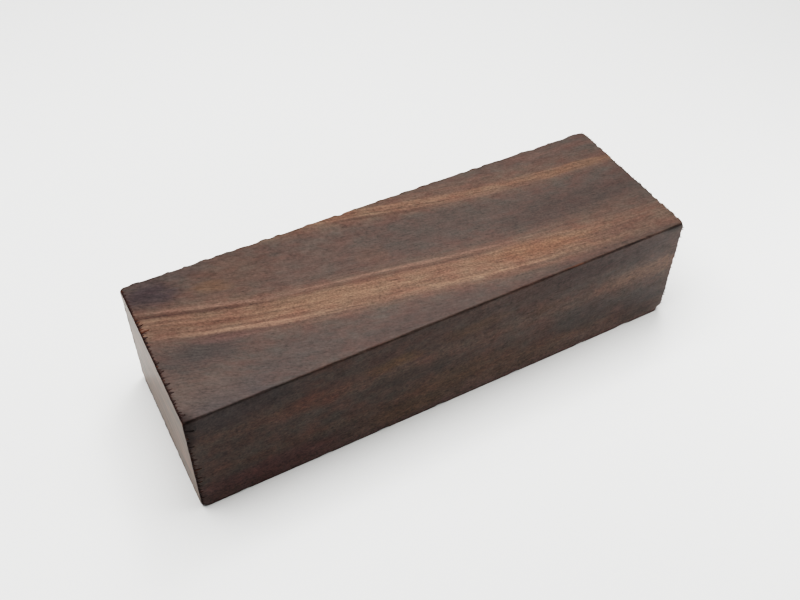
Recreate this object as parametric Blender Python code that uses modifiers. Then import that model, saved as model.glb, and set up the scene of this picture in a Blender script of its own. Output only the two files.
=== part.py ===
# Desert ironwood block: one sawn piece of wood, a little out of square, with worn arrises.
# Metres, +Z up. X runs along the length and the grain, Y to the back. The origin is under the
# middle of the block, on the surface that it rests on.

import math
import random

import bmesh
import bpy
import numpy as np
from mathutils import Matrix, Vector

MM = 0.001

NODE_NAME = "ironwood_block"

# Driving sizes of the sawn block.
LENGTH = 152.5 * MM
WIDTH = 50.8 * MM
HEIGHT = 36.2 * MM

# Each face's axis, the size that it stands at, and how far it leans along the two other axes,
# in degrees. The saw left every face but the base a fraction of a degree out of true.
FACES = {
    "left": ("x", 0.0, {"y": 0.32, "z": 0.29}),
    "right": ("x", LENGTH, {"y": -0.07, "z": -0.13}),
    "front": ("y", 0.0, {"x": 0.33, "z": -0.22}),
    "back": ("y", WIDTH, {"x": -0.08, "z": 0.25}),
    "bottom": ("z", 0.0, {}),
    "top": ("z", HEIGHT, {"x": -0.04, "y": 0.40}),
}
AXES = "xyz"
LOW_SIDES = ("left", "front", "bottom")
HIGH_SIDES = ("right", "back", "top")

# Wear. The arrises are rubbed round, and the corners are knocked off further.
ARRIS_WIDTH = 0.42 * MM
ARRIS_SEGMENTS = 2
CORNER_WEAR = {
    ("left", "back", "top"): 1.3 * MM,
    ("left", "front", "top"): 0.6 * MM,
    ("left", "front", "bottom"): 1.7 * MM,
    ("left", "back", "bottom"): 1.2 * MM,
    ("right", "back", "top"): 1.8 * MM,
    ("right", "front", "top"): 1.5 * MM,
    ("right", "front", "bottom"): 1.0 * MM,
    ("right", "back", "bottom"): 1.5 * MM,
}

# Bites out of an arris that stand out: place along it from its low end, chord and depth.
BACK_TOP_BITES = (
    (11.5 * MM, 4.5 * MM, 0.50 * MM),
    (21.5 * MM, 3.2 * MM, 0.42 * MM),
    (32.5 * MM, 3.8 * MM, 0.52 * MM),
    (65.5 * MM, 3.0 * MM, 0.78 * MM),
    (90.0 * MM, 3.6 * MM, 0.45 * MM),
    (120.5 * MM, 3.6 * MM, 0.52 * MM),
    (132.5 * MM, 5.0 * MM, 0.70 * MM),
    (143.5 * MM, 4.4 * MM, 0.62 * MM),
)
FRONT_TOP_BITES = (
    (63.0 * MM, 4.0 * MM, 0.50 * MM),
    (131.5 * MM, 5.0 * MM, 0.70 * MM),
    (139.0 * MM, 3.0 * MM, 0.55 * MM),
    (147.0 * MM, 3.4 * MM, 0.45 * MM),
)

# Small round nibbles on the lower arrises: mean spacing, chord range and depth range.
NIBBLES = {
    ("back", "bottom"): (17.0 * MM, (4.0 * MM, 7.0 * MM), (0.40 * MM, 0.70 * MM)),
    ("front", "bottom"): (21.0 * MM, (3.0 * MM, 6.0 * MM), (0.35 * MM, 0.48 * MM)),
}

# Flat splinters torn off the rougher arrises: mean spacing, width range, depth range.
CHIPS = {
    ("back", "top"): (4.6 * MM, (1.6 * MM, 4.6 * MM), (0.22 * MM, 0.44 * MM)),
    ("front", "top"): (9.0 * MM, (2.0 * MM, 6.0 * MM), (0.22 * MM, 0.36 * MM)),
    ("right", "top"): (2.5 * MM, (1.1 * MM, 2.9 * MM), (0.24 * MM, 0.50 * MM)),
    ("right", "front"): (2.3 * MM, (1.0 * MM, 2.6 * MM), (0.24 * MM, 0.50 * MM)),
    ("right", "back"): (3.0 * MM, (1.3 * MM, 3.2 * MM), (0.26 * MM, 0.50 * MM)),
    ("right", "bottom"): (3.4 * MM, (1.3 * MM, 3.4 * MM), (0.26 * MM, 0.50 * MM)),
}
CHIP_TOOL_SIZE = 2.4 * MM
CHIP_ROLL_DEG = 16.0
CHIP_TWIST_DEG = 14.0
SPACING_JITTER = 0.22
WEAR_SEED = 41

# The right end was left rough from the saw: shallow grooves that lean across it.
GROOVE_PITCH = 3.6 * MM
GROOVE_CHORD = 2.8 * MM
GROOVE_DEPTH = 0.20 * MM
GROOVE_LEAN_DEG = 50.0
GROOVE_TOOL_SIDES = 40

# Lumps torn off corners: the size of the scoop, and how far inside the corner its middle is.
CORNER_SCOOPS = {
    ("right", "front", "bottom"): ((3.4 * MM, 2.6 * MM, 2.2 * MM), (0.2 * MM, 0.3 * MM, 0.9 * MM)),
    ("right", "front", "top"): ((7.4 * MM, 3.0 * MM, 2.6 * MM), (1.6 * MM, -0.7 * MM, -0.5 * MM)),
}

# A bite's depth as a share of the scoop's own radius, and how finely the scoop is faceted.
SCOOP_DEPTH_SHARE = 0.30
SCOOP_DETAIL = 2

# Points closer than this, left where cuts meet, become one.
SLIVER = 0.02 * MM


def remove_all_objects():
    for thing in list(bpy.data.objects):
        bpy.data.objects.remove(thing, do_unlink=True)


def new_collection(name):
    collection = bpy.data.collections.new(name)
    bpy.context.scene.collection.children.link(collection)
    return collection


def face_equation(face):
    """The face as a row (a, b, c) and a value d, with a*x + b*y + c*z = d."""
    axis, place, leans = FACES[face]
    row = [0.0, 0.0, 0.0]
    row[AXES.index(axis)] = 1.0
    for lean_axis, degrees in leans.items():
        row[AXES.index(lean_axis)] = -math.tan(math.radians(degrees))
    return row, place


def corner(sides):
    """The point where three faces meet, measured from the low left front corner."""
    rows, places = zip(*(face_equation(face) for face in sides))
    return Vector(np.linalg.solve(np.array(rows), np.array(places)))


def outward_normal(face):
    row, _ = face_equation(face)
    normal = Vector(row).normalized()
    return -normal if face in LOW_SIDES else normal


def block_origin():
    """The middle of the footprint's bounding box."""
    corners = [
        corner((x_side, y_side, z_side))
        for x_side in ("left", "right")
        for y_side in ("front", "back")
        for z_side in ("bottom", "top")
    ]
    low_x = min(point.x for point in corners)
    high_x = max(point.x for point in corners)
    low_y = min(point.y for point in corners)
    high_y = max(point.y for point in corners)
    return Vector(((low_x + high_x) / 2, (low_y + high_y) / 2, 0.0))


def arris(face_a, face_b):
    """The low end, the high end and the outward direction of the edge between two faces."""
    used = {FACES[face_a][0], FACES[face_b][0]}
    free_axis = next(axis for axis in AXES if axis not in used)
    low_side = LOW_SIDES[AXES.index(free_axis)]
    high_side = HIGH_SIDES[AXES.index(free_axis)]
    low_end = corner((face_a, face_b, low_side))
    high_end = corner((face_a, face_b, high_side))
    outward = (outward_normal(face_a) + outward_normal(face_b)).normalized()
    return low_end, high_end, outward


def make_block(origin, collection, material):
    """A cube whose corners are moved to where the six sawn faces meet, then worn."""
    mesh = bpy.data.meshes.new(NODE_NAME)
    block = bpy.data.objects.new(NODE_NAME, mesh)
    collection.objects.link(block)
    bm = bmesh.new()
    bmesh.ops.create_cube(bm, size=2.0)
    wear_of_vert = {}
    for vert in list(bm.verts):
        sides = tuple(
            HIGH_SIDES[i] if vert.co[i] > 0 else LOW_SIDES[i] for i in range(len(AXES))
        )
        vert.co = corner(sides) - origin
        wear_of_vert[vert] = CORNER_WEAR[sides]
    for vert, wear in wear_of_vert.items():
        bmesh.ops.bevel(bm, geom=[vert], offset=wear, affect="VERTICES", segments=1)
    bmesh.ops.recalc_face_normals(bm, faces=bm.faces)
    bm.to_mesh(mesh)
    bm.free()
    mesh.materials.append(material)
    rub = block.modifiers.new("rubbed arrises", "BEVEL")
    rub.width = ARRIS_WIDTH
    rub.segments = ARRIS_SEGMENTS
    rub.limit_method = "ANGLE"
    rub.angle_limit = math.radians(25)
    return block


def scoop_mesh():
    """A ball of radius 1, stretched and turned by the objects that share it."""
    mesh = bpy.data.meshes.new("scoop")
    bm = bmesh.new()
    bmesh.ops.create_icosphere(bm, subdivisions=SCOOP_DETAIL, radius=1.0)
    bm.to_mesh(mesh)
    bm.free()
    return mesh


def chip_mesh():
    """A cube of half size 1, stretched and turned by the objects that share it."""
    mesh = bpy.data.meshes.new("chip_tool")
    bm = bmesh.new()
    bmesh.ops.create_cube(bm, size=2.0)
    bm.to_mesh(mesh)
    bm.free()
    return mesh


def add_cutter(name, mesh, matrix, cutters):
    tool = bpy.data.objects.new(name, mesh)
    tool.matrix_world = matrix
    tool.hide_render = True
    tool.display_type = "WIRE"
    cutters.objects.link(tool)


def axes_matrix(x_axis, z_axis):
    """A turn that takes X to x_axis and Z as near as it can to z_axis."""
    y_axis = z_axis.cross(x_axis).normalized()
    z_axis = x_axis.cross(y_axis)
    return Matrix((x_axis, y_axis, z_axis)).transposed().to_4x4()


def add_bite(faces, place, chord, depth, scoop, origin, cutters, roll=0.0):
    """One scoop out of the arris between two faces, place along it from its low end."""
    low_end, high_end, outward = arris(*faces)
    along = (high_end - low_end).normalized()
    radius = depth / SCOOP_DEPTH_SHARE
    half_share = math.sqrt(1.0 - (1.0 - SCOOP_DEPTH_SHARE) ** 2)
    reach = chord / 2 / half_share
    centre = low_end + along * place + outward * (radius - depth) - origin
    matrix = (
        Matrix.Translation(centre)
        @ axes_matrix(along, outward)
        @ Matrix.Rotation(roll, 4, "X")
        @ Matrix.Diagonal((reach, radius, radius, 1.0))
    )
    add_cutter("bite", scoop, matrix, cutters)


def add_nibbles(faces, scoop, origin, cutters, rng):
    """Bites in a row, at uneven spacing, from one end of an arris to the other."""
    spacing, chords, depths = NIBBLES[faces]
    low_end, high_end, _ = arris(*faces)
    length = (high_end - low_end).length
    count = max(1, round(length / spacing))
    for index in range(count):
        jitter = rng.uniform(-SPACING_JITTER, SPACING_JITTER)
        place = (index + 0.5 + jitter) * length / count
        add_bite(
            faces,
            place,
            rng.uniform(*chords),
            rng.uniform(*depths),
            scoop,
            origin,
            cutters,
            roll=rng.uniform(0.0, math.pi),
        )


def add_chips(faces, block_tool, origin, cutters, rng):
    """Flat cuts in a row along an arris, each leaning and turned a little its own way."""
    spacing, widths, depths = CHIPS[faces]
    low_end, high_end, outward = arris(*faces)
    along = (high_end - low_end).normalized()
    length = (high_end - low_end).length
    count = round(length / spacing)
    half = CHIP_TOOL_SIZE / 2
    for index in range(count):
        jitter = rng.uniform(-SPACING_JITTER, SPACING_JITTER)
        place = (index + 0.5 + jitter) * length / count
        floor = low_end + along * place - outward * rng.uniform(*depths) - origin
        roll = math.radians(rng.uniform(-CHIP_ROLL_DEG, CHIP_ROLL_DEG))
        twist = math.radians(rng.uniform(-CHIP_TWIST_DEG, CHIP_TWIST_DEG))
        matrix = (
            Matrix.Translation(floor)
            @ axes_matrix(along, outward)
            @ Matrix.Rotation(roll, 4, "X")
            @ Matrix.Rotation(twist, 4, "Z")
            @ Matrix.Translation((0.0, 0.0, half))
            @ Matrix.Diagonal((rng.uniform(*widths) / 2, half, half, 1.0))
        )
        add_cutter("chip", block_tool, matrix, cutters)


def add_saw_grooves(origin, cutters):
    """Long rollers laid across the right end, each sunk in by the depth of a groove."""
    radius = (GROOVE_CHORD**2 / 4 + GROOVE_DEPTH**2) / (2 * GROOVE_DEPTH)
    reach = math.hypot(WIDTH, HEIGHT)
    mesh = bpy.data.meshes.new("groove_roller")
    bm = bmesh.new()
    bmesh.ops.create_cone(
        bm,
        cap_ends=True,
        segments=GROOVE_TOOL_SIDES,
        radius1=radius,
        radius2=radius,
        depth=reach,
    )
    bm.to_mesh(mesh)
    bm.free()
    normal = outward_normal("right")
    centre = (corner(("right", "front", "bottom")) + corner(("right", "back", "top"))) / 2
    lean = math.radians(GROOVE_LEAN_DEG)
    groove_way = Vector((0.0, math.sin(lean), math.cos(lean)))
    groove_way = (groove_way - normal * groove_way.dot(normal)).normalized()
    step_way = normal.cross(groove_way)
    count = int(reach / GROOVE_PITCH)
    for index in range(count):
        step = (index - (count - 1) / 2) * GROOVE_PITCH
        place = centre + step_way * step + normal * (radius - GROOVE_DEPTH) - origin
        matrix = Matrix.Translation(place) @ axes_matrix(normal, groove_way)
        add_cutter("groove", mesh, matrix, cutters)


def add_corner_scoop(sides, scoop, origin, cutters):
    """One lump out of a corner."""
    size, inset = CORNER_SCOOPS[sides]
    inward = Vector(
        (-amount if side in HIGH_SIDES else amount) for side, amount in zip(sides, inset)
    )
    place = corner(sides) + inward - origin
    radii = (width / 2 for width in size)
    matrix = Matrix.Translation(place) @ Matrix.Diagonal((*radii, 1.0))
    add_cutter("corner_scoop", scoop, matrix, cutters)


def sawn_wood():
    """Dense dark brown heartwood with a satin sheen."""
    material = bpy.data.materials.new("sawn_ironwood")
    material.use_nodes = True
    shader = material.node_tree.nodes["Principled BSDF"]
    shader.inputs["Base Color"].default_value = (0.105, 0.058, 0.040, 1.0)
    shader.inputs["Roughness"].default_value = 0.55
    shader.inputs["Metallic"].default_value = 0.0
    material.diffuse_color = (0.105, 0.058, 0.040, 1.0)
    return material


def main():
    remove_all_objects()
    parts = new_collection(NODE_NAME)
    cutters = new_collection("cutters")
    origin = block_origin()
    block = make_block(origin, parts, sawn_wood())
    scoop = scoop_mesh()
    rng = random.Random(WEAR_SEED)
    for place, chord, depth in BACK_TOP_BITES:
        add_bite(("back", "top"), place, chord, depth, scoop, origin, cutters)
    for place, chord, depth in FRONT_TOP_BITES:
        add_bite(("front", "top"), place, chord, depth, scoop, origin, cutters)
    for faces in NIBBLES:
        add_nibbles(faces, scoop, origin, cutters, rng)
    block_tool = chip_mesh()
    for faces in CHIPS:
        add_chips(faces, block_tool, origin, cutters, rng)
    add_saw_grooves(origin, cutters)
    for sides in CORNER_SCOOPS:
        add_corner_scoop(sides, scoop, origin, cutters)
    wear = block.modifiers.new("bites and grooves", "BOOLEAN")
    wear.operation = "DIFFERENCE"
    wear.operand_type = "COLLECTION"
    wear.collection = cutters
    wear.solver = "EXACT"
    tidy = block.modifiers.new("merge slivers", "WELD")
    tidy.merge_threshold = SLIVER


main()
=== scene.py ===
# Desert ironwood block on a pale studio floor. The solid comes from the frame. This script lays a
# finer worn surface over it, adds the sealer on its end and the torn fibres on its sawn arrises,
# and draws the wood's own figure, so that it runs through the block from face to face.
import bpy
import math
import numpy as np
from mathutils import Matrix, Vector
from mathutils.bvhtree import BVHTree


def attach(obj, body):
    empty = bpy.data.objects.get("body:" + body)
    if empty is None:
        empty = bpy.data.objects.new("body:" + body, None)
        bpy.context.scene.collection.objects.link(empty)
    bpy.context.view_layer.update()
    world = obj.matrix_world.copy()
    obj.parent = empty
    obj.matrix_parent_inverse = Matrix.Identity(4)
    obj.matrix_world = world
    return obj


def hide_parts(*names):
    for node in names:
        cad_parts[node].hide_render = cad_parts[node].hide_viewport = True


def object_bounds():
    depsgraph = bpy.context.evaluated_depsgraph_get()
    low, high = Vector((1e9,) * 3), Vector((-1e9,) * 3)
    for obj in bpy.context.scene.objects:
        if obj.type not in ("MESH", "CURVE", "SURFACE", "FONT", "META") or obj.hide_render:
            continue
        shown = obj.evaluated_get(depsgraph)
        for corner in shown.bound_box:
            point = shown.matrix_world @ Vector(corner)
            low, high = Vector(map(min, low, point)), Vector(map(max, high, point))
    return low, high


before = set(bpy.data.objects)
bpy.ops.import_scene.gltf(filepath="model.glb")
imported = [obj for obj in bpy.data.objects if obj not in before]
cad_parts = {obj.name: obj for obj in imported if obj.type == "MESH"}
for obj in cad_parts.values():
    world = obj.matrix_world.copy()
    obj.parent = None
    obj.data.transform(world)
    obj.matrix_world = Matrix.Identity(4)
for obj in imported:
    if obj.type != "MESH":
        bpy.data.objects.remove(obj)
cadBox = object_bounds()
mm = 0.001
# what is added keeps a hundredth of a millimetre inside the solid's box
margin = 0.01 * mm
boxLow = tuple(value + margin for value in cadBox[0])
boxHigh = tuple(value - margin for value in cadBox[1])
print("frame loaded:", sorted(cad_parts))


def hexColor(code):
    # sRGB hex to the linear colour that a shader takes
    channels = []
    for start in (1, 3, 5):
        value = int(code[start:start + 2], 16) / 255
        channels.append(value / 12.92 if value <= 0.04045 else ((value + 0.055) / 1.055) ** 2.4)
    return (*channels, 1.0)


def addNode(tree, kind, inputs=None, **settings):
    # adds a node with its settings; an input takes a value, a socket, or another node's result
    node = tree.nodes.new(kind)
    for key, value in settings.items():
        setattr(node, key, value)
    for key, value in (inputs or {}).items():
        if isinstance(key, int):
            target = node.inputs[key]
        else:
            target = next(socket for socket in node.inputs if socket.enabled and socket.name == key)
        if isinstance(value, bpy.types.Node):
            value = next(socket for socket in value.outputs if socket.enabled)
        if isinstance(value, bpy.types.NodeSocket):
            tree.links.new(value, target)
        else:
            target.default_value = value
    return node


def calc(tree, operation, *values, clamp=False):
    return addNode(tree, "ShaderNodeMath", dict(enumerate(values)), operation=operation,
                   use_clamp=clamp)


def calcVector(tree, operation, *values):
    return addNode(tree, "ShaderNodeVectorMath", dict(enumerate(values)), operation=operation)


def scaleVector(tree, vector, factor):
    return addNode(tree, "ShaderNodeVectorMath", {0: vector, "Scale": factor}, operation="SCALE")


def remap(tree, value, given, wanted=(0.0, 1.0), smooth=False):
    # takes one range to another, with or without easing at both ends
    ranges = {"From Min": given[0], "From Max": given[1], "To Min": wanted[0], "To Max": wanted[1]}
    return addNode(tree, "ShaderNodeMapRange", {"Value": value, **ranges},
                   interpolation_type="SMOOTHSTEP" if smooth else "LINEAR")


def mixColors(tree, factor, first, second):
    return addNode(tree, "ShaderNodeMix", {"Factor": factor, "A": first, "B": second}, data_type="RGBA")


def noiseAt(tree, vector, detail, roughness=0.5, scale=1.0):
    return addNode(tree, "ShaderNodeTexNoise", {"Vector": vector, "Scale": scale, "Detail": detail,
                                                "Roughness": roughness})


def noiseOf(tree, vector, sizes, detail, roughness=0.5):
    # noise whose grains have these sizes along the three axes
    shrunk = calcVector(tree, "MULTIPLY", vector, tuple(1 / size for size in sizes))
    return noiseAt(tree, shrunk, detail, roughness)


def shapeCurve(node, points):
    # gives a float curve its points, joined smoothly and without overshoot
    curve = node.mapping.curves[0]
    while len(curve.points) < len(points):
        curve.points.new(0.5, 0.5)
    for point, (x, y) in zip(curve.points, points):
        point.location = (x, y)
        point.handle_type = "AUTO_CLAMPED"
    node.mapping.update()


def newObject(name, mesh):
    thing = bpy.data.objects.new(name, mesh)
    bpy.context.scene.collection.objects.link(thing)
    return thing


def newGeometryTree(name, floats, vectors=(), whole=()):
    # a Geometry Nodes tree with an input for each name
    tree = bpy.data.node_groups.new(name, "GeometryNodeTree")
    kinds = {"Geometry": "Geometry", **dict.fromkeys(floats, "Float"),
             **dict.fromkeys(vectors, "Vector"), **dict.fromkeys(whole, "Int")}
    for label, kind in kinds.items():
        tree.interface.new_socket(name=label, in_out="INPUT", socket_type="NodeSocket" + kind)
    tree.interface.new_socket(name="Geometry", in_out="OUTPUT", socket_type="NodeSocketGeometry")
    return tree, addNode(tree, "NodeGroupInput").outputs


def readAttribute(tree, name, kind="FLOAT"):
    reader = addNode(tree, "GeometryNodeInputNamedAttribute", {"Name": name}, data_type=kind)
    return reader.outputs["Attribute"]


def giveAttribute(mesh, name, values, kind="FLOAT", domain="POINT"):
    # stores a value or a vector for each point or face
    field = "vector" if kind == "FLOAT_VECTOR" else "value"
    numbers = np.array(values, np.int32 if kind == "INT" else np.float32)
    mesh.attributes.new(name, kind, domain).data.foreach_set(field, numbers.ravel())


def bakeGeometryTree(thing, tree, values):
    # runs the tree on an object and keeps the result as a plain mesh
    modifier = thing.modifiers.new(tree.name, "NODES")
    modifier.node_group = tree
    for item in tree.interface.items_tree:
        if item.in_out == "INPUT" and item.name in values:
            modifier[item.identifier] = values[item.name]
    evaluated = thing.evaluated_get(bpy.context.evaluated_depsgraph_get())
    mesh = bpy.data.meshes.new_from_object(evaluated)
    old = thing.data
    thing.modifiers.clear()
    thing.data = mesh
    bpy.data.meshes.remove(old)
    mesh.name = thing.name


# The camera looks down on the block from its front left.
camera = {
    "lens": 43.34,
    "place": (-96.91, -170.24, 219.15),  # mm
    "right": (0.88019, -0.47459, 0.00511),
    "up": (0.33655, 0.63169, 0.69836),
}


def placeCamera():
    data = bpy.data.cameras.new("camera")
    data.lens = camera["lens"]
    data.sensor_width = 36
    data.clip_start = 0.01
    data.clip_end = 20
    thing = newObject("camera", data)
    right = Vector(camera["right"]).normalized()
    back = right.cross(Vector(camera["up"])).normalized()
    turn = Matrix((right, back.cross(right), back)).transposed().to_4x4()
    thing.matrix_world = Matrix.Translation(Vector(camera["place"]) * mm) @ turn
    bpy.context.scene.camera = thing


placeCamera()
print("camera placed")

# The wood's figure, worked out in millimetres from the left end, the back face and the top, so that
# growth rings, bands and fibres run through the block and meet at every arris.
figure = {
    "origin": (76.25, 25.2, 36.3),
    # how far the bands have bent towards the front, along the block
    "bend": ((0, 0), (20, 6.5), (40, 12), (80, 19.5), (120, 25), (152, 28)),
    "bendRange": (152, 32),
    # how much closer the back band comes to the front one near the left
    "pinch": ((0, 3.2), (55, 3.0), (75, 2.3), (95, 1.1), (115, 0.1), (152, 0.0)),
    "pinchRange": (152, 4),
    "pith": (60.0, 118.0),  # middle of the rings, before the bend and below the top
    # strength of the tan bands by ring radius
    "bands": (
        (80, 0.0), (92.5, 0.02), (95.5, 0.16), (98, 0.03), (104.5, 0.05), (108.2, 0.20), (111.5, 0.05),
        (118, 0.02), (121.5, 0.04), (122.8, 0.08), (123.6, 0.30), (124.1, 0.56), (124.6, 0.84),
        (125.1, 0.96), (126.7, 1.0), (127.3, 0.80), (127.9, 0.60), (128.4, 0.44), (129.0, 0.26),
        (129.6, 0.13), (131.5, 0.05), (135.8, 0.06), (136.6, 0.16), (137.3, 0.32), (138.1, 0.58),
        (138.9, 0.88), (139.7, 0.70), (140.5, 0.42), (142.2, 0.27), (143.2, 0.14), (146, 0.10),
        (152, 0.10),
    ),
    "bandRange": (80, 152),
    # strength of the bands along the block
    "along": ((0, 0.62), (14, 0.76), (42, 0.98), (60, 1.0), (92, 1.0), (112, 0.92), (128, 0.76),
              (142, 0.50), (152, 0.42)),
    # Patches and lines of another tint: space, centre, radii, tint, strength. Level ones are placed
    # from the left end, from the back and down, and so are still ones, whose rims aren't torn; flow
    # ones along the grain line; ring ones by ring radius. The first list lies under the bands and
    # the second over them.
    "ground": (
        ("level", (6.5, 6.0, 0), (8.0, 6.5, 9), "#2c2528", 0.85),
        ("level", (14, 1.0, 0), (16, 3.5, 9), "#393331", 0.50),
        ("level", (28, 10, 0), (14, 9, 12), "#49382f", 0.40),
        ("level", (50, 14, 0), (18, 9, 12), "#4a3b35", 0.35),
        ("level", (84, 18, 0), (26, 8, 10), "#393330", 0.45),
        ("level", (128, 27, 0), (30, 6, 10), "#352c29", 0.60),
        ("level", (136, 33, 0), (18, 3.5, 8), "#453831", 0.45),
        ("level", (14, 31, 0), (13, 6, 9), "#302c2b", 0.75),
        ("level", (34, 43, 0), (14, 6, 8), "#383230", 0.45),
        ("level", (8, 46, 0), (13, 8, 8), "#4a3e38", 0.65),
        ("level", (66, 47, 0), (24, 4, 7), "#392d2a", 0.45),
        ("level", (104, 49, 0), (20, 3, 6), "#3d2f2a", 0.40),
        ("flow", (22, 3.5, 0), (6, 2.4, 8), "#55402f", 0.40),
        ("flow", (66, 3.0, 0), (5, 4.5, 8), "#50392f", 0.35),
        ("flow", (100, -5, 0), (22, 3.0, 8), "#3a3430", 0.35),
        ("flow", (20, 23.5, 0), (12, 1.6, 7), "#4a3735", 0.55),
        ("level", (12, 50, 3.0), (22, 9, 5.0), "#302e30", 0.60),
        ("level", (34, 50, 11), (15, 9, 3.6), "#4a3028", 0.55),
        ("level", (57, 50, 9.5), (9, 9, 2.6), "#52402c", 0.60),
        ("level", (82, 50, 8.5), (11, 9, 2.6), "#4e3d30", 0.55),
        ("level", (60, 50, 17), (16, 9, 3.6), "#2f2c29", 0.50),
        ("level", (105, 50, 12.5), (7, 9, 2.0), "#4c3a30", 0.45),
        ("level", (142, 50, 14.5), (20, 9, 3.8), "#5c473b", 0.55),
        ("level", (124, 50, 4.5), (32, 9, 5.0), "#352b29", 0.75),
        # These two strips run the whole length of the front face: darker along its top, paler and greyer
        # along its bottom.
        ("level", (70, 52.8, 6), (95, 3.2, 9), "#33241f", 0.45),
        ("level", (80, 51, 36), (100, 4.0, 7), "#5a4d48", 0.55),
        ("level", (121, 50, 23), (14, 9, 6.5), "#33302f", 0.55),
        ("level", (143, 50, 28), (12, 9, 7.0), "#332e2d", 0.60),
        ("level", (78, 50, 25), (20, 9, 4.5), "#4a3a2e", 0.45),
        ("level", (20, 50, 31), (26, 9, 5.0), "#4a3232", 0.55),
        ("level", (62, 50, 31.5), (16, 9, 4.0), "#4c3d30", 0.50),
        ("level", (100, 50, 31), (22, 9, 4.0), "#4a3c32", 0.40),
    ),
    "over": (
        ("flow", (143, -13.2, 0), (24, 1.9, 8), "#5e4637", 0.60),
        ("flow", (140, -23.0, 0), (20, 1.5, 8), "#543f38", 0.45),
        ("flow", (133, 17.0, 0), (9, 2.6, 6), "#4a3831", 0.45),
        ("flow", (50, 15.5, 0), (20, 3.5, 5), "#6b5443", 0.30),
        ("flow", (108, 15.0, 0), (18, 3.0, 5), "#64432f", 0.35),
        ("ring", (14, 127.35, 0), (26, 0.34, 1), "#33221d", 0.70),
        ("ring", (24, 127.90, 0), (26, 0.26, 1), "#6a5147", 0.45),
        ("ring", (70, 128.25, 0), (40, 0.26, 1), "#6a5045", 0.45),
        ("ring", (66, 127.65, 0), (36, 0.26, 1), "#3a2822", 0.50),
        ("ring", (78, 128.75, 0), (30, 0.20, 1), "#3c2c27", 0.30),
        ("ring", (26, 124.45, 0), (22, 0.28, 1), "#71584a", 0.55),
        ("ring", (22, 123.90, 0), (22, 0.30, 1), "#3e2d2a", 0.40),
        ("ring", (20, 125.60, 0), (18, 0.30, 1), "#4a3228", 0.40),
        ("ring", (78, 124.40, 0), (24, 0.22, 1), "#6e5647", 0.35),
        ("ring", (100, 123.95, 0), (22, 0.22, 1), "#4a352c", 0.40),
        ("ring", (78, 137.90, 0), (20, 0.30, 1), "#3c2a23", 0.45),
        ("still", (0.2, 50.2, 1.0), (3.4, 3.4, 5.2), "#20130f", 0.90),
        ("still", (0.2, 50.6, 7.0), (2.6, 1.5, 4.0), "#20130f", 0.75),
        # The next two, near black, along the right part of the top-front arris are painted shade: the
        # shade in the chips and gouges there.
        ("still", (150.0, 50.4, 0.6), (6.0, 1.2, 1.4), "#191412", 0.95),
        ("still", (133.0, 50.4, 0.2), (9.0, 0.9, 0.9), "#1d1614", 0.85),
        ("still", (114.0, 50.2, 0.0), (5.0, 0.7, 0.4), "#7a4c35", 0.40),
    ),
    # texture in the tone: mm along and across the grain, detail, how far it swings the tone
    "textures": {
        "grain": ((1.2, 0.60), 2.0, 0.95),
        "speck": ((0.62, 0.48), 1.0, 0.50),
        "mottle": ((5.0, 2.6), 2.0, 0.55),
        "streak": ((26, 0.80), 4.0, 0.28),
        "ringStreak": ((55, 0.34), 3.0, 0.18),
    },
    "bandSwing": {"speck": 0.75, "ringStreak": 1.0},  # how much more each swings the tone in a band
    "pores": ((2.6, 0.30, 0.30), (0.58, 0.70), 0.20),  # mm, span of noise that is pore, depth
    "wander": ((42, 13, 13), 3.2),  # mm, and how far it moves the bands
    "tear": ((9, 4, 4), (14, 5, 5)),  # mm, and how far it moves a patch's rim
    "patchRim": (1.3, 0.3),  # shares of a patch's radii where it starts and where it is full
    "bandFray": ((0.6, 1.4), (0.72, 1.28)),
    "hueDrift": ((7.0, 3.6, 3.6), (0.34, 0.66)),
    "sideContrast": 1.45,
    "darkCool": "#3e3834",
    "darkWarm": "#443530",
    "bandTan": "#604b3d",
    "bandOrange": "#5b4135",
}


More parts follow.
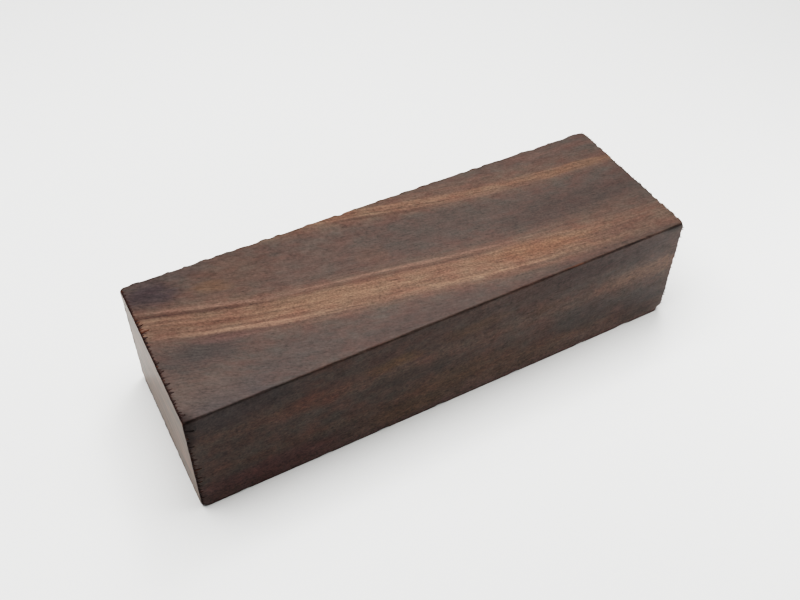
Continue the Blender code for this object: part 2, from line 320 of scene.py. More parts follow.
def makeFigure():
    # one node group that every wood material shares; it gives a colour, a band strength and a relief
    tree = bpy.data.node_groups.new("ironwood_figure", "ShaderNodeTree")
    tree.interface.new_socket(name="Color", in_out="OUTPUT", socket_type="NodeSocketColor")
    tree.interface.new_socket(name="Band", in_out="OUTPUT", socket_type="NodeSocketFloat")
    tree.interface.new_socket(name="Fibre", in_out="OUTPUT", socket_type="NodeSocketFloat")
    tree.interface.new_socket(name="Place", in_out="OUTPUT", socket_type="NodeSocketVector")
    where = addNode(tree, "ShaderNodeTexCoord").outputs["Object"]
    place = calcVector(tree, "MULTIPLY_ADD", where, (1000, -1000, -1000), figure["origin"])
    split = addNode(tree, "ShaderNodeSeparateXYZ", {0: place})
    along, across, down = split.outputs

    # a slow wander keeps the bands from looking drawn with a ruler
    sizes, swing = figure["wander"]
    wanderBy = calc(tree, "MULTIPLY_ADD", noiseOf(tree, place, sizes, 2.5), swing, -swing / 2)

    length, reach = figure["bendRange"]
    share = calc(tree, "DIVIDE", along, length)
    bend = addNode(tree, "ShaderNodeFloatCurve", {"Value": share})
    shapeCurve(bend, [(x / length, y / reach) for x, y in figure["bend"]])
    bent = calc(tree, "MULTIPLY_ADD", bend, -reach, across)
    length, reach = figure["pinchRange"]
    pinch = addNode(tree, "ShaderNodeFloatCurve", {"Value": share})
    shapeCurve(pinch, [(x / length, y / reach) for x, y in figure["pinch"]])
    behind = remap(tree, bent, (0.0, -16.0), (0.0, reach))
    pinched = calc(tree, "MULTIPLY_ADD", pinch, behind, bent)
    grain = calc(tree, "ADD", pinched, wanderBy)

    # distance from the pith gives the ring
    toPith = addNode(tree, "ShaderNodeCombineXYZ", {0: grain, 1: down})
    fromPith = calcVector(tree, "SUBTRACT", toPith, (*figure["pith"], 0))
    ring = calcVector(tree, "LENGTH", fromPith).outputs["Value"]

    low, high = figure["bandRange"]
    ringShare = remap(tree, ring, (low, high))
    bands = addNode(tree, "ShaderNodeFloatCurve", {"Value": ringShare})
    bandPoints = [((radius - low) / (high - low), strength) for radius, strength in figure["bands"]]
    shapeCurve(bands, bandPoints)
    strong = addNode(tree, "ShaderNodeFloatCurve", {"Value": share})
    shapeCurve(strong, [(x / length, y) for x, y in figure["along"]])
    band = calc(tree, "MULTIPLY", bands, strong)

    # streaks lie along the grain, some with the rings; short grain and mottle fill in between
    flow = addNode(tree, "ShaderNodeCombineXYZ", {0: along, 1: grain, 2: down})
    withRings = addNode(tree, "ShaderNodeCombineXYZ", {0: along, 1: ring})
    noises = {}
    tone = 1 - sum(swing for _, _, swing in figure["textures"].values()) / 2
    for label, ((length, width), detail, swing) in figure["textures"].items():
        noise = noiseOf(tree, withRings if label == "ringStreak" else flow, (length, width, width),
                        detail, 0.6)
        noises[label] = noise.outputs[0]
        tone = calc(tree, "MULTIPLY_ADD", noises[label], swing, tone)
    # pores are about 0.1 mm wide in this wood; drawn at 0.3 mm so that they show
    sizes, span, depth = figure["pores"]
    pore = remap(tree, noiseOf(tree, flow, sizes, 1.0), span)
    poreTone = calc(tree, "MULTIPLY_ADD", pore, -depth, tone)

    # hue drifts over a few millimetres
    sizes, span = figure["hueDrift"]
    hueShare = remap(tree, noiseOf(tree, flow, sizes, 3.0, 0.6), span)
    color = mixColors(tree, hueShare, hexColor(figure["darkCool"]), hexColor(figure["darkWarm"]))

    # ragged coordinates give the patches torn rims
    sizes, reach = figure["tear"]
    tear = noiseOf(tree, flow, sizes, 3.0, 0.6).outputs["Color"]
    tearBy = calcVector(tree, "MULTIPLY_ADD", tear, reach, tuple(-far / 2 for far in reach))
    spaces = {"ring": withRings, "still": place, "flow": calcVector(tree, "ADD", flow, tearBy),
              "level": calcVector(tree, "ADD", place, tearBy)}

    def tinted(color, patches):
        for space, centre, radii, tint, strength in patches:
            offset = calcVector(tree, "SUBTRACT", spaces[space], centre)
            scaled = calcVector(tree, "DIVIDE", offset, radii)
            far = calcVector(tree, "LENGTH", scaled).outputs["Value"]
            amount = remap(tree, far, figure["patchRim"], (0.0, strength), smooth=True)
            color = mixColors(tree, amount, color, hexColor(tint))
        return color

    color = tinted(color, figure["ground"])
    tan = mixColors(tree, hueShare, hexColor(figure["bandTan"]), hexColor(figure["bandOrange"]))
    # streaks break up the edge of each band
    frayed = calc(tree, "ADD", noises["ringStreak"], noises["streak"])
    frayedBy = remap(tree, frayed, *figure["bandFray"])
    bandNow = calc(tree, "MULTIPLY", band, frayedBy, clamp=True)
    color = mixColors(tree, bandNow, color, tan)
    color = tinted(color, figure["over"])
    # the bands are flecked and streaked more than the dark wood
    flecked = poreTone
    for label, swing in figure["bandSwing"].items():
        fleck = calc(tree, "MULTIPLY_ADD", noises[label], swing, -swing / 2)
        flecked = calc(tree, "MULTIPLY_ADD", fleck, bandNow, flecked)
    # the sides, where the rings are cut along, are more flecked than the top
    onSide = remap(tree, down, (0.2, 2.0), (1.0, figure["sideContrast"]))
    centred = calc(tree, "SUBTRACT", flecked, 1.0)
    contrast = calc(tree, "MULTIPLY_ADD", centred, onSide, 1.0)
    toned = scaleVector(tree, color, contrast)
    addNode(tree, "NodeGroupOutput", {"Color": toned, "Band": bandNow, "Fibre": noises["grain"],
                                      "Place": flow})
    return tree


ironwoodFigure = makeFigure()
print("figure drawn:", len(ironwoodFigure.nodes), "nodes")


def newMaterial(name):
    material = bpy.data.materials.new(name)
    material.use_nodes = True
    material.node_tree.nodes.clear()
    return material, material.node_tree


sawnFace = {
    "roughness": (0.42, 0.60),
    "gloss": 0.24,
    # mm over which the arrises are darker, and are duller
    "darkArrisWidth": 0.6,
    "darkArrisTone": 0.62,
    "dullSpan": (0.2, 0.9),
    "dullness": 0.35,
    "sawMark": (1.1, 15),  # mm across and along the blade's marks
    "sawLean": 28,  # degrees off square
    "fibreRelief": 0.03,  # mm
    "sawRelief": 0.006,  # mm
    # how the sealer has soaked in from the end: mm of its even rim, and of the noise that frays it
    "soak": {"rim": 0.30, "fray": 1.5, "width": 0.75, "tint": "#2a1b17", "strength": 0.85},
}


def makeSawnFace():
    # Ironwood planed off the saw and left bare: dense and waxy, so it has a dull satin sheen.
    material, tree = newMaterial("sawn_ironwood")
    wood = addNode(tree, "ShaderNodeGroup", node_tree=ironwoodFigure)
    arris = addNode(tree, "ShaderNodeAttribute", attribute_name="arrisGap").outputs["Fac"]
    # the colour is darkened towards every arris
    arrisDarkening = remap(tree, arris, (0.0, sawnFace["darkArrisWidth"]), (sawnFace["darkArrisTone"], 1.0), smooth=True)
    arrisDarkened = scaleVector(tree, wood.outputs["Color"], arrisDarkening)
    # sealer has soaked in past the left end, further along some fibres than others
    soak = sawnFace["soak"]
    fromEnd = addNode(tree, "ShaderNodeAttribute", attribute_name="leftGap").outputs["Fac"]
    fray = noiseOf(tree, wood.outputs["Place"], (20, soak["width"], soak["width"]), 2.0, 0.7)
    reach = remap(tree, fray, (0.45, 0.72), (soak["rim"], soak["rim"] + soak["fray"]))
    past = calc(tree, "SUBTRACT", reach, fromEnd)
    soaked = remap(tree, past, (-0.1, 0.25), (0.0, soak["strength"]), smooth=True)
    color = mixColors(tree, soaked, arrisDarkened, hexColor(soak["tint"]))
    # the blade's marks cross the grain and come and go
    lean = math.radians(sawnFace["sawLean"])
    turned = addNode(tree, "ShaderNodeVectorRotate", {"Vector": wood.outputs["Place"], "Angle": lean},
                     rotation_type="Z_AXIS")
    acrossMark, alongMark = sawnFace["sawMark"]
    marks = noiseOf(tree, turned, (acrossMark, alongMark, alongMark), 1.0)
    saw = calc(tree, "MULTIPLY", marks, sawnFace["sawRelief"])
    height = calc(tree, "MULTIPLY_ADD", wood.outputs["Fibre"], sawnFace["fibreRelief"], saw)
    bump = addNode(tree, "ShaderNodeBump", {"Strength": 1.0, "Distance": mm, "Height": height})
    low, high = sawnFace["roughness"]
    rough = remap(tree, wood.outputs["Fibre"], (0.0, 1.0), (low, high))
    # broken fibres make the arrises dull
    dull = remap(tree, arris, sawnFace["dullSpan"], (sawnFace["dullness"], 0.0), smooth=True)
    rough = calc(tree, "ADD", rough, dull, clamp=True)
    shader = addNode(tree, "ShaderNodeBsdfPrincipled", {
        "Base Color": color, "Roughness": rough, "Normal": bump, "Specular IOR Level": sawnFace["gloss"]})
    addNode(tree, "ShaderNodeOutputMaterial", {"Surface": shader})
    return material


sealedFace = {
    "hazeAndReflection": 0.50,
    "hazeAndReflectionTint": "#665040",
    "mark": (17, 1.5),  # mm along and across the level marks
    "relief": 0.03,  # mm
    "markShare": 0.75,
    "markTints": ("#4b4334", "#785a4a"),
    "rimTint": "#4d2c22",
}


def makeSealedEnd():
    # End grain under dried wax sealer: smooth and glossy enough to mirror the floor; its colour is paled
    # partly by the sealer's grey film and partly by a painted reflection of the bright floor.
    material, tree = newMaterial("sealed_end_grain")
    wood = addNode(tree, "ShaderNodeGroup", node_tree=ironwoodFigure)
    # painted reflection: the wood's colour is paled towards the bright floor that this end mirrors at a
    # grazing angle, on top of the sealer's own grey film
    hazeAndReflection = mixColors(tree, sealedFace["hazeAndReflection"], wood.outputs["Color"], hexColor(sealedFace["hazeAndReflectionTint"]))
    # the saw crossed the end level, so its marks and the wax in them lie level too
    high, deep = sealedFace["mark"]
    marks = noiseOf(tree, wood.outputs["Place"], (deep, high, deep), 3.0, 0.55)
    hue = remap(tree, marks, (0.36, 0.64))
    tint = mixColors(tree, hue, *map(hexColor, sealedFace["markTints"]))
    streaked = mixColors(tree, sealedFace["markShare"], hazeAndReflection, tint)
    ridged = addNode(tree, "ShaderNodeBump", {"Strength": 1.0, "Distance": sealedFace["relief"] * mm,
                                              "Height": marks})
    # red-brown sealer has run down the front arris and along the top one
    arris = addNode(tree, "ShaderNodeAttribute", attribute_name="arrisGap").outputs["Fac"]
    ran = calc(tree, "MULTIPLY_ADD", marks, -1.6, 1.9)
    rim = remap(tree, arris, (ran, 0.15), (0.0, 0.8), smooth=True)
    color = mixColors(tree, rim, streaked, hexColor(sealedFace["rimTint"]))
    shader = addNode(tree, "ShaderNodeBsdfPrincipled", {
        "Base Color": color, "Roughness": 0.5, "Normal": ridged, "Specular IOR Level": 0.1,
        "Coat Weight": 0.20, "Coat Roughness": 0.14, "Coat IOR": 1.5, "Coat Normal": ridged})
    addNode(tree, "ShaderNodeOutputMaterial", {"Surface": shader})
    return material


def makeRoughEnd():
    # End grain straight off a coarse saw: dull, furry and a little paler where fibres stand up.
    material, tree = newMaterial("rough_end_grain")
    wood = addNode(tree, "ShaderNodeGroup", node_tree=ironwoodFigure)
    fur = remap(tree, wood.outputs["Fibre"], (0.3, 0.7), (0.7, 1.15))
    color = scaleVector(tree, wood.outputs["Color"], fur)
    bump = addNode(tree, "ShaderNodeBump", {"Strength": 1.0, "Distance": 0.08 * mm,
                                            "Height": wood.outputs["Fibre"]})
    shader = addNode(tree, "ShaderNodeBsdfPrincipled", {"Base Color": color, "Roughness": 0.8,
                                                        "Normal": bump})
    addNode(tree, "ShaderNodeOutputMaterial", {"Surface": shader})
    return material


sawnWood, sealedEnd, roughEnd = makeSawnFace(), makeSealedEnd(), makeRoughEnd()
print("wood materials made")

# The fine surface of the block, laid over the CAD solid.
block = {
    "node": "ironwood_block",
    "name": "ironwood_surface",
    "cells": (0.78, 0.50, 0.50),  # mm between grid lines along X, Y and Z
    "arrisLines": (0.09, 0.20, 0.34, 0.52, 0.76, 1.10),  # mm from each arris
    "rayStart": 3.0,  # mm outside the flat faces
    "arrisBlend": 0.9,  # mm over which a ray turns from one face's normal to the next
    "smoothPasses": 1,
    "undulation": 0.03,  # mm
    "arrisWear": 0.06,  # mm
    "endFur": 0.06,  # mm
}
faceSides = ((0, -1), (0, 1), (1, -1), (1, 1), (2, -1), (2, 1))  # axis and sign, from left to top
leftSide, rightSide, frontSide, backSide, bottomSide, topSide = range(6)


def flatFaces(mesh):
    # each big face of the solid as a unit normal and its distance from the origin
    points = np.array([v.co for v in mesh.vertices])
    mesh.calc_loop_triangles()
    corners = np.array([t.vertices for t in mesh.loop_triangles])
    across = np.cross(points[corners[:, 1]] - points[corners[:, 0]],
                      points[corners[:, 2]] - points[corners[:, 0]])
    area = np.linalg.norm(across, axis=1)
    found = []
    for axis, sign in faceSides:
        facing = across[:, axis] * sign > 0.99 * area
        normal = across[facing].sum(0)
        normal /= np.linalg.norm(normal)
        found.append((normal, (points @ normal).max()))
    return found


def gridLines(length, cell):
    # shares of a side's length: close lines by both arrises, even ones between
    near = [step * mm / length for step in (0.0, *block["arrisLines"])]
    between = round((1 - 2 * near[-1]) * length / (cell * mm))
    middle = np.linspace(near[-1], 1 - near[-1], between + 1)[1:-1]
    return np.array([*near, *middle, *(1 - share for share in reversed(near))])


def latticeMesh(name, lines, corners):
    # the skin of a box of grid lines, stretched between eight corners, as one closed mesh
    counts = [len(line) for line in lines]
    onSkin = np.zeros(counts, dtype=bool)
    for axis in range(3):
        for end in (0, -1):
            index = [slice(None)] * 3
            index[axis] = end
            onSkin[tuple(index)] = True
    places = np.argwhere(onSkin)
    number = np.full(counts, -1, dtype=np.int64)
    number[onSkin] = np.arange(len(places))
    shares = np.stack([lines[axis][places[:, axis]] for axis in range(3)], axis=1)
    points = np.zeros((len(places), 3))
    for side in np.ndindex(2, 2, 2):
        weight = np.prod(np.where(np.array(side) == 1, shares, 1 - shares), axis=1)
        points += weight[:, None] * corners[side]
    quads, sides = [], []
    for label, (axis, sign) in enumerate(faceSides):
        index = [slice(None)] * 3
        index[axis] = 0 if sign < 0 else -1
        grid = number[tuple(index)]
        ring = [grid[:-1, :-1], grid[1:, :-1], grid[1:, 1:], grid[:-1, 1:]]
        if (sign > 0) == (axis == 1):
            ring.reverse()
        quads.append(np.stack([part.ravel() for part in ring], axis=1))
        sides.append(np.full(len(quads[-1]), label))
    mesh = bpy.data.meshes.new(name)
    mesh.from_pydata(points.tolist(), [], np.concatenate(quads).tolist())
    giveAttribute(mesh, "side", np.concatenate(sides), "INT", "FACE")
    return mesh, points


def layOverSolid():
    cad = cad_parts[block["node"]]
    faces = flatFaces(cad.data)
    corners = np.zeros((2, 2, 2, 3))
    for side in np.ndindex(2, 2, 2):
        three = [faces[2 * axis + side[axis]] for axis in range(3)]
        corners[side] = np.linalg.solve(np.array([normal for normal, _ in three]),
                                        np.array([far for _, far in three]))
    span = np.abs(corners[1, 1, 1] - corners[0, 0, 0])
    mesh, points = latticeMesh(block["name"], [gridLines(*pair) for pair in zip(span, block["cells"])],
                               corners)
    # how far each point is from each flat face, and which way its ray comes in
    gaps = np.stack([far - points @ normal for normal, far in faces], axis=1) / mm
    rays = np.exp(-((gaps / block["arrisBlend"]) ** 2)) @ np.array([normal for normal, _ in faces])
    rays /= np.linalg.norm(rays, axis=1)[:, None]
    tree = BVHTree.FromPolygons([v.co for v in cad.data.vertices],
                                [p.vertices for p in cad.data.polygons])
    start = block["rayStart"] * mm
    inset = np.zeros(len(points))
    missed = 0
    for number, (point, ray) in enumerate(zip(points, rays)):
        hit = tree.ray_cast(Vector(point + ray * start), Vector(-ray))
        if hit[0] is None:
            missed += 1
        else:
            inset[number] = hit[3] - start
    # neighbours share their insets a little, so that bites have soft rims
    edges = np.array([edge.vertices for edge in mesh.edges])
    neighbours = np.bincount(edges.ravel(), minlength=len(points))
    for _ in range(block["smoothPasses"]):
        total = np.bincount(edges[:, 0], weights=inset[edges[:, 1]], minlength=len(points))
        total += np.bincount(edges[:, 1], weights=inset[edges[:, 0]], minlength=len(points))
        inset = 0.5 * inset + 0.5 * total / neighbours
    points = points - rays * inset[:, None]
    mesh.vertices.foreach_set("co", points.astype(np.float32).ravel())
    mesh.shade_smooth()
    # what the relief and the materials need to know at each point, in millimetres
    perAxis = np.sort(np.minimum(gaps[:, 0::2], gaps[:, 1::2]), axis=1)
    facts = {"arrisGap": perAxis[:, 1], "leftGap": gaps[:, leftSide], "rightGap": gaps[:, rightSide]}
    for label, values in facts.items():
        giveAttribute(mesh, label, values)
    deepest, least = round(inset.max() / mm, 2), round(inset.min() / mm, 2)
    print("rays that missed:", missed, " deepest inset mm:", deepest, " least:", least)
    return newObject(block["name"], mesh)


def wearSurface(thing):
    # faint hollows on the faces, nibbled arrises and a furry sawn end, all cut inwards
    tree, given = newGeometryTree("worn_surface", ("Undulation", "Arris Wear", "End Fur", "Millimetre"))
    place = addNode(tree, "GeometryNodeInputPosition")
    inMm = calcVector(tree, "MULTIPLY", place, (1000, 1000, 1000))
    hollow = noiseOf(tree, inMm, (24, 8, 8), 3.0)
    hollowBy = calc(tree, "MULTIPLY", hollow, given["Undulation"])
    edge = remap(tree, readAttribute(tree, "arrisGap"), (1.3, 0.15), smooth=True)
    nibble = noiseAt(tree, inMm, 3.0, 0.6, scale=0.75)
    nibbled = remap(tree, nibble, (0.42, 0.72))
    wear = calc(tree, "MULTIPLY", edge, nibbled)
    depth = calc(tree, "MULTIPLY_ADD", wear, given["Arris Wear"], hollowBy)
    onEnd = remap(tree, readAttribute(tree, "rightGap"), (0.5, 0.1))
    fur = noiseAt(tree, inMm, 4.0, 0.7, scale=0.8)
    furHere = calc(tree, "MULTIPLY", fur, onEnd)
    deeper = calc(tree, "MULTIPLY_ADD", furHere, given["End Fur"], depth)
    inwards = calc(tree, "MULTIPLY", deeper, given["Millimetre"])
    normal = addNode(tree, "GeometryNodeInputNormal")
    negative = calc(tree, "MULTIPLY", inwards, -1.0)
    offset = scaleVector(tree, normal, negative)
    moved = addNode(tree, "GeometryNodeSetPosition", {"Geometry": given["Geometry"], "Offset": offset})
    real = addNode(tree, "GeometryNodeRealizeInstances", {"Geometry": moved})
    done = addNode(tree, "GeometryNodeSetMaterial", {"Geometry": real, "Material": sawnWood})
    side = readAttribute(tree, "side", "INT")
    for label, material in ((leftSide, sealedEnd), (rightSide, roughEnd)):
        chosen = addNode(tree, "FunctionNodeCompare", {"A": side, "B": label}, data_type="INT",
                         operation="EQUAL")
        done = addNode(tree, "GeometryNodeSetMaterial", {"Geometry": done, "Selection": chosen,
                                                         "Material": material})
    addNode(tree, "NodeGroupOutput", {"Geometry": done})
    bakeGeometryTree(thing, tree, {"Undulation": block["undulation"], "Arris Wear": block["arrisWear"],
                                   "End Fur": block["endFur"], "Millimetre": mm})


surface = layOverSolid()
wearSurface(surface)
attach(surface, "root")
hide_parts(block["node"])
print("surface laid over the solid:", len(surface.data.polygons), "faces,",
      [m.name for m in surface.data.materials])

# Sealer that ran over the left end's arrises and dried in a thin line, with tongues along the fibres.
sealer = {
    "name": "sealer_runs",
    # place along the arris from its back or top end, length, width and how amber it is, in mm
    "topTongues": (
        (13.2, 1.4, 0.50, 0.5), (14.4, 2.1, 0.55, 0.7), (15.9, 1.5, 0.50, 0.2), (17.2, 1.3, 0.45, 0.9),
        (18.3, 2.3, 0.55, 0.8), (19.3, 1.4, 0.50, 0.1), (20.6, 1.2, 0.60, 0.0), (22.0, 0.8, 0.50, 0.0),
        (23.6, 1.0, 0.60, 0.0), (25.2, 0.8, 0.55, 0.1), (27.6, 0.7, 0.50, 0.0), (30.1, 1.1, 0.60, 0.0),
        (33.2, 1.3, 0.70, 0.1), (35.1, 0.7, 0.50, 0.0), (37.6, 1.4, 0.60, 0.0), (39.4, 1.5, 0.50, 0.1),
        (40.6, 2.7, 0.60, 0.0), (43.2, 0.9, 0.60, 0.0), (45.4, 0.9, 0.60, 0.1), (47.3, 1.9, 0.80, 0.0),
        (48.5, 1.5, 0.70, 0.0),
    ),
    "frontTongues": (
        (2.2, 1.7, 0.70, 0.0), (3.5, 2.3, 0.80, 0.0), (5.2, 1.3, 0.70, 0.1),
        (6.6, 2.1, 0.80, 0.0), (8.0, 1.0, 0.60, 0.1), (9.6, 1.5, 0.70, 0.0), (12.2, 0.8, 0.60, 0.4),
        (15.0, 1.4, 0.60, 0.2), (17.3, 1.0, 0.60, 0.5), (19.3, 1.9, 0.70, 0.6), (20.6, 1.2, 0.60, 0.5),
        (23.0, 1.6, 0.70, 0.2), (24.8, 1.5, 0.70, 0.4), (26.4, 1.2, 0.60, 0.1), (29.2, 1.5, 0.70, 0.3),
        (31.6, 1.0, 0.60, 0.2),
    ),
    "backEnd": 25.3,  # where the top tongues and the front ones are measured from, mm
    "topEnd": 36.2,
    "smallSpacing": 1.7,
    "smallTongue": ((0.3, 0.7), (0.35, 0.6)),  # lengths and widths, mm
    "beadStep": 0.7,
    "bead": 0.30,
    "film": 0.12,  # thickness of a tongue where it leaves the arris
    "inset": 0.05,
    "wobble": 0.12,
    "tints": ("#22130f", "#5e3822"),
    "seed": 7,
}


def makeDriedSealer():
    # Dried wax sealer: a dark film with a low gloss, amber where it is thin.
    material, tree = newMaterial("dried_sealer")
    amber = addNode(tree, "ShaderNodeAttribute", attribute_name="amber").outputs["Fac"]
    where = addNode(tree, "ShaderNodeTexCoord").outputs["Object"]
    cloud = noiseAt(tree, where, 2.0, scale=1400.0)
    thin = calc(tree, "MULTIPLY", amber, cloud, clamp=True)
    color = mixColors(tree, thin, *map(hexColor, sealer["tints"]))
    shader = addNode(tree, "ShaderNodeBsdfPrincipled", {"Base Color": color, "Roughness": 0.45,
                                                        "Specular IOR Level": 0.2})
    addNode(tree, "ShaderNodeOutputMaterial", {"Surface": shader})
    return material


def sealerBase():
    # edges along the left end's four arrises for the line, and one loose point for each tongue
    rng = np.random.default_rng(sealer["seed"])
    faces = flatFaces(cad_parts[block["node"]].data)
    worn = BVHTree.FromPolygons([v.co for v in surface.data.vertices],
                                [p.vertices for p in surface.data.polygons])
    low, high = (Vector(corner) for corner in cadBox)
    topEnd, backEnd = high.z / mm, high.y / mm
    points, edges, facts = [], [], []
    reachOut = block["rayStart"] * mm

    def onArris(side, free, at):
        # the point of the worn surface at a place along the arris between the left end and another face
        rows = np.array([faces[leftSide][0], faces[side][0], np.eye(3)[free]])
        sharp = Vector(np.linalg.solve(rows, np.array([faces[leftSide][1], faces[side][1], at * mm])))
        outward = Vector(faces[leftSide][0] + faces[side][0]).normalized()
        hit = worn.ray_cast(sharp + outward * reachOut, -outward)[0]
        return hit - outward * 0.4 * sealer["inset"] * mm if hit else sharp

    def addTongue(side, free, at, length, width, amber):
        base = onArris(side, free, at)
        up = Vector(faces[side][0])
        foot = worn.ray_cast(Vector((base.x + 0.5 * mm, base.y, base.z)) + up * reachOut, -up)[0]
        points.append((base.x + sealer["inset"] * mm, *(base.lerp(foot, 0.8).yz if foot else base.yz)))
        facts.append((length * mm, width * mm, amber, tuple(up), rng.uniform(-0.16, 0.16)))

    # each arris of the left end: its other face, the axis that it runs along, its two ends in mm
    arrises = ((topSide, 1, -backEnd, backEnd), (frontSide, 2, 0.0, topEnd),
               (bottomSide, 1, -backEnd, backEnd), (backSide, 2, 0.0, topEnd))
    for side, free, start, end in arrises:
        first = len(points)
        for at in np.arange(start + 1.2, end - 1.0, sealer["beadStep"]):
            points.append(tuple(onArris(side, free, at)))
            facts.append((0.0, 0.0, 0.0, (0.0, 0.0, 1.0), 0.0))
        edges += [(number, number + 1) for number in range(first, len(points) - 1)]
        lengths, widths = sealer["smallTongue"]
        for at in np.arange(start + 1.5, end - 1.5, sealer["smallSpacing"]):
            addTongue(side, free, at + rng.uniform(-0.5, 0.5), rng.uniform(*lengths),
                      rng.uniform(*widths), max(0.0, rng.uniform(-1.2, 0.8)))
    for down, length, width, amber in sealer["topTongues"]:
        addTongue(topSide, 1, sealer["backEnd"] - down, length, width, amber)
    for down, length, width, amber in sealer["frontTongues"]:
        addTongue(frontSide, 2, sealer["topEnd"] - down, length, width, amber)
    mesh = bpy.data.meshes.new(sealer["name"])
    mesh.from_pydata(points, edges, [])
    lengths, widths, ambers, ups, leans = zip(*facts)
    for label, values in {"reach": lengths, "width": widths, "amber": ambers, "lean": leans}.items():
        giveAttribute(mesh, label, values)
    giveAttribute(mesh, "up", ups, "FLOAT_VECTOR")
    return newObject(sealer["name"], mesh)


def clampToBox(tree, given, shape):
    # keeps every point between the two corners that the tree is given
    place = addNode(tree, "GeometryNodeInputPosition")
    above = calcVector(tree, "MAXIMUM", place, given["Box Low"])
    within = calcVector(tree, "MINIMUM", above, given["Box High"])
    return addNode(tree, "GeometryNodeSetPosition", {"Geometry": shape, "Position": within})


def pourSealer(thing):
    # a swept line of uneven thickness and a flattened cone for each tongue
    tree, given = newGeometryTree("sealer_runs", ("Bead", "Film", "Wobble"), ("Box Low", "Box High"))
    known = {label: readAttribute(tree, label) for label in ("reach", "width", "lean")}
    known["up"] = readAttribute(tree, "up", "FLOAT_VECTOR")
    isTongue = addNode(tree, "FunctionNodeCompare", {"A": known["reach"], "B": 0.0}, data_type="FLOAT",
                       operation="GREATER_THAN")
    parted = addNode(tree, "GeometryNodeSeparateGeometry", {"Geometry": given["Geometry"],
                                                            "Selection": isTongue})
    place = addNode(tree, "GeometryNodeInputPosition")
    uneven = noiseAt(tree, place, 3.0, scale=500.0)
    thickness = remap(tree, uneven, (0.3, 0.7), (0.35, 1.3))
    path = addNode(tree, "GeometryNodeMeshToCurve", {"Mesh": parted.outputs["Inverted"]})
    radius = calc(tree, "MULTIPLY", given["Bead"], 0.5)
    profile = addNode(tree, "GeometryNodeCurvePrimitiveCircle", {"Resolution": 8, "Radius": radius})
    line = addNode(tree, "GeometryNodeCurveToMesh", {"Curve": path, "Profile Curve": profile,
                                                     "Scale": thickness, "Fill Caps": True})
    # each tongue is one unit long and wide until the points scale it
    cone = addNode(tree, "GeometryNodeMeshCone", {
        "Vertices": 10, "Side Segments": 4, "Radius Top": 0.16, "Radius Bottom": 0.64, "Depth": 1.0})
    way = addNode(tree, "ShaderNodeCombineXYZ", {0: 1.0, 1: known["lean"], 2: known["lean"]})
    turn = addNode(tree, "FunctionNodeAxesToRotation", {
        "Primary Axis": way, "Secondary Axis": known["up"]}, primary_axis="Z", secondary_axis="X")
    thick = calc(tree, "MULTIPLY", given["Film"], 2.0)
    scale = addNode(tree, "ShaderNodeCombineXYZ", {0: thick, 1: known["width"], 2: known["reach"]})
    tongues = addNode(tree, "GeometryNodeInstanceOnPoints", {"Points": parted.outputs["Selection"],
                                                             "Instance": cone.outputs["Mesh"],
                                                             "Rotation": turn, "Scale": scale})
    realTongues = addNode(tree, "GeometryNodeRealizeInstances", {"Geometry": tongues})
    ripple = noiseAt(tree, place, 2.0, scale=1800.0)
    centred = calcVector(tree, "ADD", ripple.outputs["Color"], (-0.5, -0.5, -0.5))
    wobble = scaleVector(tree, centred, given["Wobble"])
    torn = addNode(tree, "GeometryNodeSetPosition", {"Geometry": realTongues, "Offset": wobble})
    both = addNode(tree, "GeometryNodeJoinGeometry")
    for part in (line, torn):
        tree.links.new(part.outputs[0], both.inputs[0])
    inside = clampToBox(tree, given, both)
    smooth = addNode(tree, "GeometryNodeSetShadeSmooth", {"Geometry": inside})
    real = addNode(tree, "GeometryNodeRealizeInstances", {"Geometry": smooth})
    done = addNode(tree, "GeometryNodeSetMaterial", {"Geometry": real, "Material": makeDriedSealer()})
    addNode(tree, "NodeGroupOutput", {"Geometry": done})
    thicknesses = {label.title(): sealer[label] * mm for label in ("bead", "film", "wobble")}
    bakeGeometryTree(thing, tree, {**thicknesses, "Box Low": boxLow, "Box High": boxHigh})


runs = sealerBase()
pourSealer(runs)
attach(runs, "root")
print("sealer poured:", len(runs.data.polygons), "faces")

# Fibres that the saw tore out along the right end's arrises and left standing on the end itself.
fibres = {
    "name": "torn_fibres",
    "arrisDensity": 3.2e6,  # per square metre
    "endDensity": 1.6e5,
    "length": (0.25, 0.75),  # mm
    "width": (0.07, 0.16),
    "seed": 5,
}


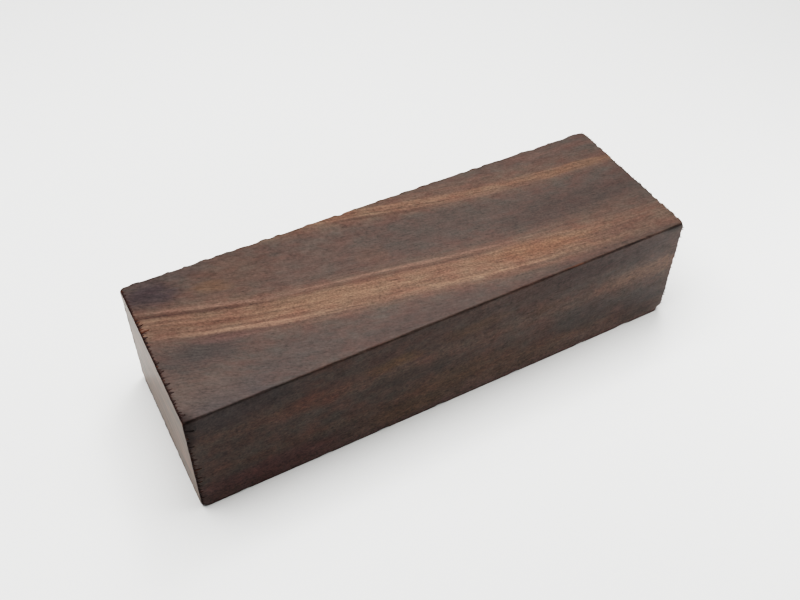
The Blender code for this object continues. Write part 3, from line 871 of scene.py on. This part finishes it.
def tearFibres(thing):
    # scatters slivers over a copy of the worn surface, then keeps only the slivers
    floats = ("Arris Density", "End Density", "Shortest", "Longest", "Thinnest", "Thickest")
    tree, given = newGeometryTree("torn_fibres", floats, ("Box Low", "Box High"), ("Seed",))
    atEnd = remap(tree, readAttribute(tree, "rightGap"), (0.7, 0.3))
    atArris = remap(tree, readAttribute(tree, "arrisGap"), (0.5, 0.2))
    plenty = calc(tree, "MULTIPLY_ADD", atArris, given["Arris Density"], given["End Density"])
    density = calc(tree, "MULTIPLY", plenty, atEnd)
    roots = addNode(tree, "GeometryNodeDistributePointsOnFaces",
                    {"Mesh": given["Geometry"], "Density": density, "Seed": given["Seed"]})
    sliver = addNode(tree, "GeometryNodeMeshCone", {
        "Vertices": 5, "Side Segments": 2, "Radius Top": 0.12, "Radius Bottom": 0.5, "Depth": 1.0})
    drift = addNode(tree, "FunctionNodeRandomValue", {"Min": (-0.2, -0.9, -0.9), "Max": (0.8, 0.9, 0.9),
                                                      "Seed": 3}, data_type="FLOAT_VECTOR")
    way = calcVector(tree, "ADD", roots.outputs["Normal"], drift)
    turn = addNode(tree, "FunctionNodeAxesToRotation", {
        "Primary Axis": way, "Secondary Axis": (0.0, 1.0, 0.3)}, primary_axis="Z", secondary_axis="X")
    long = addNode(tree, "FunctionNodeRandomValue", {
        "Min": given["Shortest"], "Max": given["Longest"], "Seed": 11}, data_type="FLOAT")
    thick = addNode(tree, "FunctionNodeRandomValue", {
        "Min": given["Thinnest"], "Max": given["Thickest"], "Seed": 13}, data_type="FLOAT")
    wide = calc(tree, "MULTIPLY", thick, 2.2)
    scale = addNode(tree, "ShaderNodeCombineXYZ", {0: thick, 1: wide, 2: long})
    stand = addNode(tree, "GeometryNodeInstanceOnPoints", {"Points": roots.outputs["Points"],
                                                           "Instance": sliver.outputs["Mesh"],
                                                           "Rotation": turn, "Scale": scale})
    real = addNode(tree, "GeometryNodeRealizeInstances", {"Geometry": stand})
    inside = clampToBox(tree, given, real)
    done = addNode(tree, "GeometryNodeSetMaterial", {"Geometry": inside, "Material": roughEnd})
    addNode(tree, "NodeGroupOutput", {"Geometry": done})
    (shortest, longest), (thinnest, thickest) = fibres["length"], fibres["width"]
    bakeGeometryTree(thing, tree, {
        "Arris Density": fibres["arrisDensity"], "End Density": fibres["endDensity"],
        "Shortest": shortest * mm, "Longest": longest * mm, "Thinnest": thinnest * mm,
        "Thickest": thickest * mm, "Seed": fibres["seed"], "Box Low": boxLow, "Box High": boxHigh,
    })


slivers = newObject(fibres["name"], surface.data.copy())
tearFibres(slivers)
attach(slivers, "root")
print("fibres torn:", len(slivers.data.polygons), "faces")

# A pale floor, a soft box just above the block, a window far to the back right and a low card at
# the front right, which lights the far end of the front face.
studio = {
    "floorSize": 4.0,  # m
    "floorColor": "#eaeae8",
    "sky": (0.95, 0.97, 1.0),
    "skyStrength": 0.20,
    "lights": {
        # place in m, aim in m, width and height in m, power in W
        "window": ((0.70, 0.70, 1.20), (0.70, 0.70, 0), (0.6, 0.6), 6.6),
        "softBox": ((-0.065, 0.065, 0.47), (-0.065, 0.065, 0), (0.5, 0.3), 3.46),
        "card": ((0.22, -0.15, 0.06), (0.04, 0, 0.02), (0.12, 0.11), 0.34),
    },
    "film": ("Filmic", "Very High Contrast"),
}


def setStudio():
    half = studio["floorSize"] / 2
    mesh = bpy.data.meshes.new("floor")
    mesh.from_pydata([(-half, -half, 0), (half, -half, 0), (half, half, 0), (-half, half, 0)], [],
                     [(0, 1, 2, 3)])
    floor = newObject("floor", mesh)
    # Matt white card: even and without any shine.
    material, tree = newMaterial("white_card")
    shader = addNode(tree, "ShaderNodeBsdfPrincipled", {"Base Color": hexColor(studio["floorColor"]),
                                                        "Roughness": 0.9, "Specular IOR Level": 0.2})
    addNode(tree, "ShaderNodeOutputMaterial", {"Surface": shader})
    mesh.materials.append(material)
    world = bpy.data.worlds.new("studio")
    bpy.context.scene.world = world
    world.use_nodes = True
    sky = world.node_tree.nodes["Background"].inputs
    sky["Color"].default_value = (*studio["sky"], 1)
    sky["Strength"].default_value = studio["skyStrength"]
    for name, (place, aim, size, power) in studio["lights"].items():
        data = bpy.data.lights.new(name, "AREA")
        data.shape = "RECTANGLE"
        data.size, data.size_y = size
        data.energy = power
        thing = newObject(name, data)
        turn = (Vector(aim) - Vector(place)).to_track_quat("-Z", "Y")
        thing.matrix_world = Matrix.Translation(Vector(place)) @ turn.to_matrix().to_4x4()
    view = bpy.context.scene.view_settings
    view.view_transform, view.look = studio["film"]


setStudio()
print("studio set")
